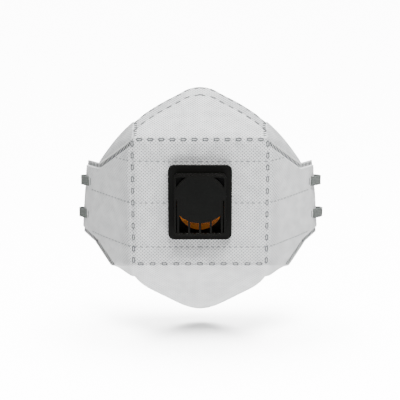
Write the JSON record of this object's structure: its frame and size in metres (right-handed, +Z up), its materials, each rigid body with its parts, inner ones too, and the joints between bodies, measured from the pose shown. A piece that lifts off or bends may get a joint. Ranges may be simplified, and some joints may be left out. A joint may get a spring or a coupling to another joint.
{
  "type": "dust mask",
  "caption": "Flat-fold dust mask, opened: three nonwoven panels with welded seams, side wings, an exhalation valve with flap, nose clip and foam, and two elastic headbands.",
  "frame": {"origin": "middle of the face opening: in the plane of the sealing edge, level with the axis of the valve", "axes": "+X from the left of the mask, as it is seen from the front, to its right; -Y is the front with the valve; +Z up to the nose peak"},
  "size_m": [0.1622, 0.0628, 0.1523],
  "materials": {
    "outer_nonwoven": "point-bonded polypropylene spunbond, light grey, matt",
    "filter_nonwoven": "meltblown and needled polypropylene, white, soft",
    "lining_nonwoven": "smooth polypropylene spunbond, off-white",
    "strap_elastic": "woven elastic webbing, mid grey",
    "clip_aluminium": "soft annealed strip",
    "nose_foam": "open-cell polyurethane foam, dark grey",
    "valve_plastic": "black moulded polypropylene, fine texture",
    "valve_seat_plastic": "black moulded polypropylene",
    "flap_silicone": "orange silicone rubber sheet"
  },
  "bodies": {
    "root": {"centre_outer": "outer_nonwoven", "centre_filter": "filter_nonwoven", "centre_lining": "lining_nonwoven", "left_nose_gusset": "outer_nonwoven", "right_nose_gusset": "outer_nonwoven", "left_chin_gusset": "outer_nonwoven", "right_chin_gusset": "outer_nonwoven", "left_upper_strap_loop": "strap_elastic", "left_lower_strap_loop": "strap_elastic", "right_upper_strap_loop": "strap_elastic", "right_lower_strap_loop": "strap_elastic", "valve_seat": "valve_seat_plastic", "valve_cover": "valve_plastic", "valve_flap_clamp": "valve_seat_plastic", "valve_retaining_ring": "valve_seat_plastic"},
    "nose_panel": {"nose_outer": "outer_nonwoven", "nose_filter": "filter_nonwoven", "nose_lining": "lining_nonwoven", "nose_clip": "clip_aluminium", "nose_foam": "nose_foam"},
    "chin_panel": {"chin_outer": "outer_nonwoven", "chin_filter": "filter_nonwoven", "chin_lining": "lining_nonwoven"},
    "valve_flap": {"valve_flap": "flap_silicone"},
    "upper_headband": {"upper_headband": "strap_elastic"},
    "lower_headband": {"lower_headband": "strap_elastic"}
  },
  "joints": [
    {"name": "nose_panel_fold", "type": "hinge", "parent": "root", "child": "nose_panel", "pos_m": [0, -0.04, 0.042], "axis": [-1, 0, 0], "range_deg": [0, 38]},
    {"name": "chin_panel_fold", "type": "hinge", "parent": "root", "child": "chin_panel", "pos_m": [0, -0.04, -0.041], "axis": [1, 0, 0], "range_deg": [0, 24]},
    {"name": "valve_flap_lift", "type": "hinge", "parent": "root", "child": "valve_flap", "pos_m": [0, -0.0431, 0.0086], "axis": [-1, 0, 0], "range_deg": [0, 11], "stiffness_Nm_per_rad": 0.001},
    {"name": "upper_headband_swing", "type": "hinge", "parent": "root", "child": "upper_headband", "pos_m": [0, 0.00543, 0.007], "axis": [1, 0, 0], "range_deg": [0, 150]},
    {"name": "lower_headband_swing", "type": "hinge", "parent": "root", "child": "lower_headband", "pos_m": [0, 0.00855, -0.016], "axis": [1, 0, 0], "range_deg": [0, 120]}
  ]
}
